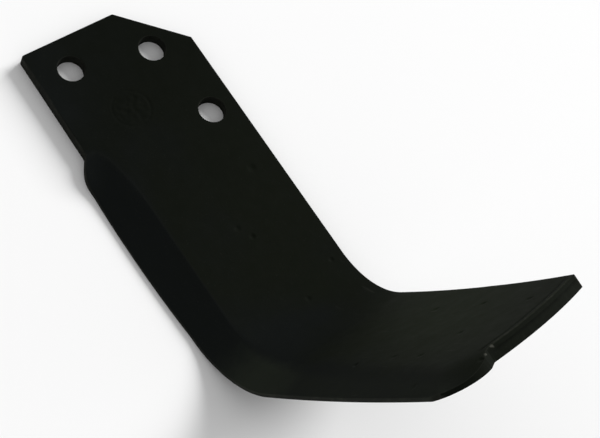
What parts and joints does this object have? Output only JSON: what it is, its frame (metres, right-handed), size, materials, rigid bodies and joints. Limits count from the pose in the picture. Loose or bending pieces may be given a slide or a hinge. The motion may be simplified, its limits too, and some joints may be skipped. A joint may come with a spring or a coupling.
{
  "type": "rotary tiller blade",
  "caption": "Flat forged tiller blade: bolting head, shank stepping out to a bevelled cutting edge, and a bend up into a slightly cambered, flaring foot with a raked end",
  "frame": {"origin": "on the outer flat face of the head, at the centre of the circle through the three bolt holes", "axes": "+Z is the normal of the flat shank toward the concave side, where the foot rises; +Y runs along the shank toward the head's end; +X points from the cutting side to the back side"},
  "size_m": [0.1151, 0.2956, 0.1735],
  "materials": {
    "blade": "semi-gloss black paint over forged steel"
  },
  "bodies": {
    "root": {"tiller_blade": "blade"}
  },
  "joints": []
}
